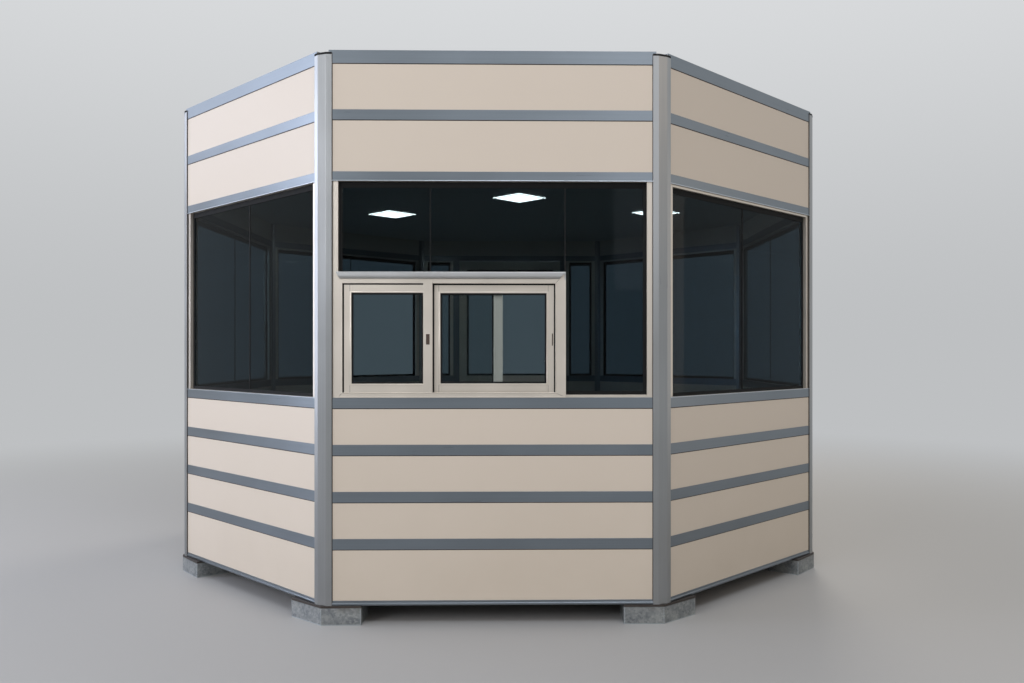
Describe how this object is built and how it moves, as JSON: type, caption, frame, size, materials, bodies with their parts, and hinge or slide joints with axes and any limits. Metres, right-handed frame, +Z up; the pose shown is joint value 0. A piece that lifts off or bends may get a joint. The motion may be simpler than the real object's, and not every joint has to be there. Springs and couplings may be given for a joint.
{
  "type": "eight-sided security guard booth",
  "caption": "Eight-sided prefabricated guard booth with cream sandwich panels, aluminium rails and posts, tinted windows all round, a sliding serving window and steel feet.",
  "frame": {"origin": "on the ground, at the middle of the plan", "axes": "+Z up; the front wall, with the serving window, faces -Y; +X is to the right seen from the front"},
  "size_m": [3.5688, 3.6194, 2.588],
  "materials": {
    "cream_panel": "satin powder-coated sheet steel",
    "rail_aluminium": "satin anodised",
    "post_aluminium": "satin anodised",
    "frame_aluminium": "satin powder-coated aluminium",
    "tinted_glass": "blue-black tinted, polished",
    "black_rubber": "matt black",
    "galvanised_steel": "hot-dip galvanised, spangled",
    "base_steel": "primed steel",
    "floor_board": "sheet vinyl on board",
    "ceiling_panel": "white coated sheet",
    "light_panel": "opal diffuser",
    "handle_steel": "brushed"
  },
  "bodies": {
    "root": {"front_panels": "cream_panel", "front_rails": "rail_aluminium", "front_glass": "tinted_glass", "front_right_panels": "cream_panel", "front_right_rails": "rail_aluminium", "front_right_glass": "tinted_glass", "right_panels": "cream_panel", "right_rails": "rail_aluminium", "right_glass": "tinted_glass", "back_right_panels": "cream_panel", "back_right_rails": "rail_aluminium", "back_right_glass": "tinted_glass", "back_panels": "cream_panel", "back_rails": "rail_aluminium", "back_glass": "tinted_glass", "back_left_panels": "cream_panel", "back_left_rails": "rail_aluminium", "back_left_glass": "tinted_glass", "left_panels": "cream_panel", "left_rails": "rail_aluminium", "left_glass": "tinted_glass", "front_left_panels": "cream_panel", "front_left_rails": "rail_aluminium", "front_left_glass": "tinted_glass", "window_frames": "frame_aluminium", "window_gaskets": "black_rubber", "glass_joints": "black_rubber", "serving_frame": "frame_aluminium", "serving_sash_left": "frame_aluminium", "serving_sash_right": "frame_aluminium", "serving_sash_inner": "frame_aluminium", "serving_glass": "tinted_glass", "door_frame": "rail_aluminium", "door_leaf": "frame_aluminium", "door_panels": "cream_panel", "door_glass": "tinted_glass", "door_handle": "handle_steel", "door_hinges": "handle_steel", "corner_posts": "post_aluminium", "post_caps": "black_rubber", "feet": "galvanised_steel", "base_frame": "base_steel", "floor": "floor_board", "ceiling": "ceiling_panel", "ceiling_trim": "ceiling_panel", "ceiling_lights": "light_panel", "roof": "cream_panel", "roof_ledge": "base_steel"}
  },
  "joints": []
}
